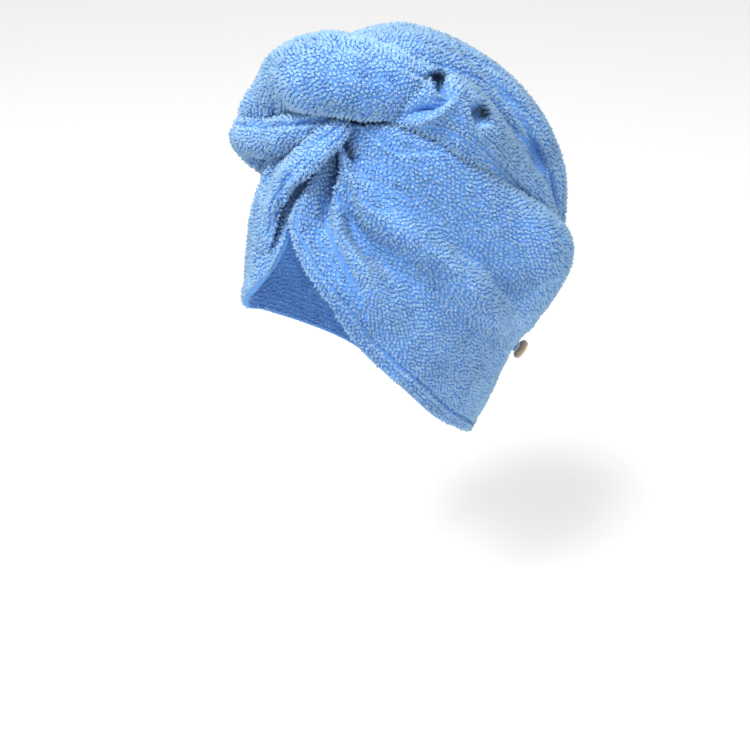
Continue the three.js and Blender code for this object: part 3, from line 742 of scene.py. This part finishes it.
def noise(tree, scale, detail, roughness):
    where = node(tree, "ShaderNodeTexCoord").outputs["Object"]
    inputs = {"Vector": where, "Scale": scale, "Detail": detail, "Roughness": roughness}
    return node(tree, "ShaderNodeTexNoise", inputs).outputs["Fac"]


def math_node(tree, operation, *values):
    return node(tree, "ShaderNodeMath", dict(enumerate(values)), operation=operation).outputs[0]


def map_range(tree, value, source, target):
    inputs = {
        "Value": value,
        "From Min": source[0], "From Max": source[1],
        "To Min": target[0], "To Max": target[1],
    }
    return node(tree, "ShaderNodeMapRange", inputs).outputs[0]


def attribute(tree, name):
    return node(tree, "ShaderNodeAttribute", attribute_name=name).outputs["Fac"]


def ramp(tree, factor, stops):
    made = node(tree, "ShaderNodeValToRGB", {0: factor})
    for element, (position, colour) in zip(made.color_ramp.elements, (stops[0], stops[-1])):
        element.position = position
        element.color = (*colour, 1)
    for position, colour in stops[1:-1]:
        made.color_ramp.elements.new(position).color = (*colour, 1)
    return made.outputs[0]


def add_bump(tree, shader, height, strength, distance):
    inputs = {"Strength": strength, "Distance": distance, "Height": height}
    tree.links.new(node(tree, "ShaderNodeBump", inputs).outputs[0], shader.inputs["Normal"])


def set_values(shader, values):
    for key, value in values.items():
        shader.inputs[key].default_value = value


def plush(name, pile):
    """Blue microfibre pile, with painted shade between the tufts and painted light at the tips."""
    made, tree, shader = material(name)
    fibre = noise(tree, FIBRE_SCALE, 3, 0.7)
    broad = noise(tree, BROAD_SCALE, 3, 0.6)
    # Height up a strand gives painted shade at the roots and painted light at the tips, plus the tuft's
    # random tint; the cloth below keeps to the dark end, painted shade between the tufts
    if pile:
        tint = math_node(tree, "MULTIPLY", attribute(tree, "tint"), TINT_SHARE)
        level = math_node(tree, "MULTIPLY_ADD", attribute(tree, "tip"), TIP_SHARE, tint)
    else:
        level = math_node(tree, "MULTIPLY", fibre, CLOTH_SHARE)
    colour = ramp(tree, level, PLUSH_COLOURS_AND_PAINTED_SHADE)
    shade = math_node(
        tree, "MULTIPLY",
        map_range(tree, broad, NOISE_RANGE, BROAD_SHADE),
        map_range(tree, fibre, NOISE_RANGE, FIBRE_SHADE),
    )
    # Painted shade in the pits darkens the colour
    pit_painted_shade = map_range(tree, attribute(tree, "pit"), (0, 1), (1, PIT_SHADE))
    shade = math_node(tree, "MULTIPLY", shade, pit_painted_shade)
    final = node(tree, "ShaderNodeVectorMath", {0: colour, "Scale": shade}, operation="SCALE").outputs[0]
    tree.links.new(final, shader.inputs["Base Color"])
    add_bump(tree, shader, fibre, FIBRE_BUMP_STRENGTH, FIBRE_BUMP_DEPTH)
    set_values(shader, {
        "Roughness": 0.92,
        "Specular IOR Level": 0.05,
        "Sheen Weight": 0.04,
        "Sheen Roughness": 0.45,
        "Sheen Tint": (0.6, 0.8, 1.0, 1),
    })
    return made


def speckled(name, colours, scale, bump_depth, roughness):
    """A procedural finish with a mottled colour and relief."""
    made, tree, shader = material(name)
    mottle = noise(tree, scale, 5, 0.6)
    mixed = ramp(tree, mottle, list(zip(NOISE_RANGE, colours)))
    tree.links.new(mixed, shader.inputs["Base Color"])
    add_bump(tree, shader, mottle, SPECKLE_BUMP_STRENGTH, bump_depth)
    shader.inputs["Roughness"].default_value = roughness
    return made, tree, shader


def paint_rim_shade(tree, shader, axis, colour):
    """Paints shade on what faces away from an axis, which is the rim of a disc."""
    middle = shader.inputs["Base Color"].links[0].from_socket
    way = node(tree, "ShaderNodeNewGeometry").outputs["Normal"]
    turned = node(tree, "ShaderNodeVectorMath", {0: way, 1: axis}, operation="DOT_PRODUCT").outputs["Value"]
    size = math_node(tree, "ABSOLUTE", turned)
    amount = map_range(tree, size, RIM_RANGE, (0, 1))
    mix = node(tree, "ShaderNodeMix", data_type="RGBA")
    tree.links.new(amount, mix.inputs["Factor"])
    mix.inputs[6].default_value = (*colour, 1)
    tree.links.new(middle, mix.inputs[7])
    tree.links.new(mix.outputs[2], shader.inputs["Base Color"])


cloth_blue = plush("plush_base", False)
pile_blue = plush("plush_pile", True)


def placed(piece, finish):
    piece.data.materials.append(finish)
    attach(piece, "root")
    return piece


# Hood

# How deep the roots of the pile lie, how far the lining stands off the head, and the least cloth between
PILE_DEPTH = 1.6
INNER_DEPTH = 1.2
LINING_CLEARANCE = 0.6
# The hem's width, rise and ramp, its seam, its rounded edge, and where it fades in from the knot
HEM_WIDTH = 12.0
HEM_RISE = 1.4
HEM_RAMP = 3
SEAM_DEPTH = 2.2
SEAM_WIDTH = 1.3
EDGE_DROP = 1.6
EDGE_WIDTH = 4
HEM_START = 25
HEM_FADE = 20
# No point farther in from the hem than this comes through the lining
EDGE_MARGIN = 6
# Columns and rows of points, and the shares of the way from the knot at which they start
HOOD_GRID = (270, 150)
LINING_GRID = (160, 90)
HOOD_PILE_GRID = (1400, 420)
LINING_PILE_GRID = (900, 300)
KNOT_GAP = 0.012
PILE_KNOT_GAP = 0.02
LINING_KNOT_GAP = 0.05
LINING_REACH = 0.985


def grid(size, across, along):
    return np.meshgrid(np.linspace(*across, size[0]), np.linspace(*along, size[1]), indexing="ij")


def edge_distances(points):
    """How far each point is from the knot and from the nearest hem, along the cloth."""
    step = np.linalg.norm(np.diff(points, axis=0), axis=-1)
    from_right = np.concatenate([np.zeros((1, points.shape[1])), np.cumsum(step, 0)])
    from_left = from_right[-1:] - from_right
    step = np.linalg.norm(np.diff(points, axis=1), axis=-1)
    from_knot = np.concatenate([np.zeros((points.shape[0], 1)), np.cumsum(step, 1)], 1)
    from_nape = from_knot[:, -1:] - from_knot
    return from_knot, np.minimum(np.minimum(from_right, from_left), from_nape)


def lining_radius(direction, across, along):
    return head_radius(direction) + fold_height(across, along, hollow=True) + INNER_DEPTH


def lining_surface(across, along):
    direction = hood_direction(across, along)
    return direction * lining_radius(direction, across, along)[..., None]


def finished_hood(across, along):
    """The outside of the hood with its small folds and its sewn hem, and the way out of it."""
    points = hood_surface(across, along)
    normal = grid_normals(points, points)
    points = with_relief("hood", points, normal, unit(points))
    from_knot, inside = edge_distances(points)
    band = HEM_RISE * np.clip((HEM_WIDTH - inside) / HEM_RAMP + 0.5, 0, 1)
    seam = -SEAM_DEPTH * np.exp(-(((inside - HEM_WIDTH) / SEAM_WIDTH) ** 2))
    near = 1 - np.clip(inside / EDGE_WIDTH, 0, 1)
    edge = -EDGE_DROP * (1 - np.sqrt(np.clip(1 - near**2, 0, 1)))
    fade = np.clip((from_knot - HEM_START) / HEM_FADE, 0, 1)
    points = points + normal * ((band + seam) * fade + edge)[..., None]
    direction = hood_direction(across, along)
    least = lining_radius(direction, across, along) + PILE_DEPTH + LINING_CLEARANCE
    reach = np.linalg.norm(points, axis=-1)
    too_deep = (inside > EDGE_MARGIN) & (reach < least)
    points = np.where(too_deep[..., None], unit(points) * least[..., None], points)
    return points, normal


def hood_edges(size, start):
    """Point numbers along the right hem, the left hem, the knot and the nape of a grid."""
    numbers = start + np.arange(size[0] * size[1]).reshape(size)
    return numbers[0, :], numbers[-1, :], numbers[:, 0], numbers[:, -1]


def make_hood():
    """Outside and lining, joined along their four edges, with the gathered strap over the knot."""
    outer, normal = finished_hood(*grid(HOOD_GRID, (-1, 1), (KNOT_GAP, 1)))
    outer = outer - normal * PILE_DEPTH
    inner = lining_surface(*grid(LINING_GRID, (-1, 1), (KNOT_GAP, 1)))
    start = HOOD_GRID[0] * HOOD_GRID[1]
    faces = [grid_faces(*HOOD_GRID), grid_faces(*LINING_GRID, start)[:, ::-1]]
    edges = zip(hood_edges(HOOD_GRID, 0), hood_edges(LINING_GRID, start), (True, False, False, True))
    for outer_edge, inner_edge, turned in edges:
        strip = zip_faces(outer_edge, inner_edge)
        faces.append(strip[:, ::-1] if turned else strip)
    strap, strap_faces = wound_shell([STRAP_PART], start + LINING_GRID[0] * LINING_GRID[1])
    points = np.concatenate([outer.reshape(-1, 3), inner.reshape(-1, 3), strap])
    return mesh_object("hood_cloth", to_frame(points), faces + strap_faces, {"pit": pit_shade(points)})


def hood_tufts():
    surface, _ = finished_hood(*grid(HOOD_PILE_GRID, (-1, 1), (PILE_KNOT_GAP, 1)))
    place, up, run = tufts(surface, surface)
    return place - up * PILE_DEPTH, up, run


def lining_tufts():
    """Shorter pile on the inside of the hood, kept off the hem."""
    limits = (-LINING_REACH, LINING_REACH), (LINING_KNOT_GAP, LINING_REACH)
    surface = lining_surface(*grid(LINING_PILE_GRID, *limits))
    return tufts(surface, -surface, pitch=LINING_PITCH)


# Wound cloth: each part has its sections, the name of its marks, its ribs, and its rings and sides

Part = namedtuple("Part", "sections mark ribs rings sides")

STRAP_PART = Part(STRAP, "strap", dict(ribs=9, depth=0.06, turn=2, under=0.4), 80, 70)
TWIST_PART = Part(TWIST, "twist", dict(ribs=7, depth=0.03, turn=3), 140, 120)
BAND_PART = Part(BAND, "band", dict(ribs=5, depth=0.06, turn=2), 80, 70)
SIDE_FOLD_PART = Part(SIDE_FOLD, "side", dict(ribs=6, depth=0.03, turn=2), 120, 90)
TAIL_PART = Part(TAIL, "tail", dict(ribs=12, depth=0.04, turn=2), 180, 150)
# Steps along and round a part where its tufts can stand, and the share at each end that has none
WOUND_PILE_GRID = (420, 512)
PILE_END = 0.01


def wound_body(part, share, angle):
    """Points of a part with its small folds, first round it and then along, and the way out."""
    body = loft(part.sections, share, angle, **part.ribs).transpose(1, 0, 2)
    normal = grid_normals(body, body - body.mean(0, keepdims=True), True)
    return with_relief(part.mark, body, normal, normal), normal


def wound_grid(shares, sides):
    return np.meshgrid(shares, np.linspace(0, 2 * np.pi, sides, endpoint=False), indexing="ij")


def wound_shell(parts, start=0):
    """Closed bodies of several parts, as points and faces."""
    points, faces = [], []
    for part in parts:
        rings, sides = part.rings, part.sides
        shares = (1 - np.cos(np.linspace(0, np.pi, rings + 2)[1:-1])) / 2
        body, normal = wound_body(part, *wound_grid(shares, sides))
        body = body - normal * PILE_DEPTH
        points += [body.reshape(-1, 3), np.array([body[:, 0].mean(0), body[:, -1].mean(0)])]
        faces.append(grid_faces(sides, rings, start, wrap=True))
        numbers = start + np.arange(sides * rings).reshape(sides, rings)
        for end, column in ((0, 0), (1, rings - 1)):
            ring = numbers[:, column]
            tip = np.full(sides, start + sides * rings + end)
            cap = np.stack([ring, np.roll(ring, -1), tip], -1)
            faces.append(cap if end else cap[:, ::-1])
        start += sides * rings + 2
    return np.concatenate(points), faces


def wound_tufts(parts):
    steps, sides = WOUND_PILE_GRID
    found = []
    for part in parts:
        fine, normal = wound_body(part, *wound_grid(np.linspace(PILE_END, 1 - PILE_END, steps), sides))
        place, up, run = tufts(fine, normal, True)
        found.append((place - up * PILE_DEPTH, up, run))
    return [np.concatenate([f[k] for f in found]) for k in range(3)]


def add_pile(name, tuft_values, **options):
    points, faces, attributes = tuft_mesh(*tuft_values, **options)
    placed(mesh_object(name, to_frame(points), [faces], attributes), pile_blue)


def add_hood():
    hood = placed(make_hood(), cloth_blue)
    fix_normals(hood)
    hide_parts("hood")
    both = [np.concatenate(pair) for pair in zip(hood_tufts(), wound_tufts([STRAP_PART]))]
    left = both[0][:, 0] >= 0
    add_pile("hood_pile_left", [values[left] for values in both])
    add_pile("hood_pile_right", [values[~left] for values in both])
    add_pile("hood_pile_inside", lining_tufts(), pitch=LINING_PITCH, rise=LINING_RISE, strands=LINING_STRANDS)


def add_wound(name, parts):
    """A piece of one or more parts, each a closed body, and its pile."""
    points, faces = wound_shell(parts)
    cloth = mesh_object(name + "_cloth", to_frame(points), faces, {"pit": pit_shade(points)})
    placed(cloth, cloth_blue)
    fix_normals(cloth)
    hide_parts(name)
    add_pile(name + "_pile", wound_tufts(parts))


add_hood()
add_wound("front_twist", [TWIST_PART, BAND_PART])
add_wound("side_fold", [SIDE_FOLD_PART])
add_wound("tail", [TAIL_PART])

# Button, thread and loop, which keep their form from the CAD

# The two colours of each finish, and the darker one of the button's rim, a painted shade
BUTTON_WOOD = ((0.46, 0.34, 0.20), (0.66, 0.53, 0.36))
BUTTON_RIM_PAINTED_SHADE = (0.40, 0.28, 0.15)
THREAD_COTTON = ((0.55, 0.50, 0.42), (0.82, 0.78, 0.70))
LOOP_BRAID = ((0.06, 0.18, 0.48), (0.22, 0.42, 0.80))


def dress(name, finish):
    piece = bpy.data.objects[name]
    piece.data.materials.clear()
    piece.data.materials.append(finish)


def button_axis():
    """The way in which the button is thinnest."""
    button = bpy.data.objects["button"]
    corners = np.array([button.matrix_world @ vertex.co for vertex in button.data.vertices])
    return tuple(np.linalg.svd(corners - corners.mean(0))[2][2])


wood, tree, shader = speckled("button_wood", BUTTON_WOOD, scale=260, bump_depth=0.0002, roughness=0.38)
# Painted shade on the rim of the button
paint_rim_shade(tree, shader, button_axis(), BUTTON_RIM_PAINTED_SHADE)
shader.inputs["Coat Weight"].default_value = 0.2
dress("button", wood)
cotton, _, _ = speckled("cotton_thread", THREAD_COTTON, scale=1400, bump_depth=0.0003, roughness=0.85)
dress("button_thread", cotton)
braid, _, _ = speckled("braided_loop", LOOP_BRAID, scale=1100, bump_depth=0.0004, roughness=0.8)
dress("elastic_loop", braid)

# Camera, floor and light, in metres in the frame and watts

FLOOR_LEVEL = -0.42
FLOOR_REACH = 6
FLOOR_COLOUR = (0.93, 0.93, 0.93, 1)
LAMP_TARGET = (0, 0, -0.1)
WORLD_BRIGHTNESS = 0.86


def add_camera():
    lens = bpy.data.cameras.new("camera")
    lens.sensor_width = SENSOR
    lens.sensor_fit = "HORIZONTAL"
    lens.lens = SENSOR * FOCAL_LENGTH / PICTURE
    camera = bpy.data.objects.new("camera", lens)
    ways = Matrix([Vector(way) for way in (CAMERA_RIGHT, CAMERA_UP, -CAMERA_FORWARD)])
    place = Matrix.Translation(Vector(to_frame(CAMERA_PLACE)))
    camera.matrix_world = place @ ways.transposed().to_4x4()
    bpy.context.scene.collection.objects.link(camera)
    bpy.context.scene.camera = camera


def add_floor():
    corners = np.array([(-1, -1, 0), (1, -1, 0), (1, 1, 0), (-1, 1, 0)]) * float(FLOOR_REACH)
    corners[:, 2] = FLOOR_LEVEL
    floor = mesh_object("floor", corners, [np.array([(0, 1, 2, 3)])], rounded=False)
    finish, _, shader = material("floor_finish")
    set_values(shader, {"Base Color": FLOOR_COLOUR, "Roughness": 0.9})
    floor.data.materials.append(finish)


def add_lamp(name, place, size, power):
    light = bpy.data.lights.new(name, "AREA")
    light.size = size
    light.energy = power
    made = bpy.data.objects.new(name, light)
    made.location = place
    made.rotation_euler = (Vector(LAMP_TARGET) - Vector(place)).to_track_quat("-Z", "Y").to_euler()
    bpy.context.scene.collection.objects.link(made)


def add_world():
    world = bpy.data.worlds.new("studio")
    world.use_nodes = True
    background = world.node_tree.nodes["Background"]
    background.inputs["Color"].default_value = (1, 1, 1, 1)
    background.inputs["Strength"].default_value = WORLD_BRIGHTNESS
    bpy.context.scene.world = world


add_camera()
add_floor()
add_lamp("key", place=(0.35, -0.95, 1.5), size=0.6, power=32)
add_lamp("fill", place=(1.6, 0.2, 0.5), size=1.6, power=3)
add_world()
bpy.context.scene.view_settings.view_transform = "Standard"
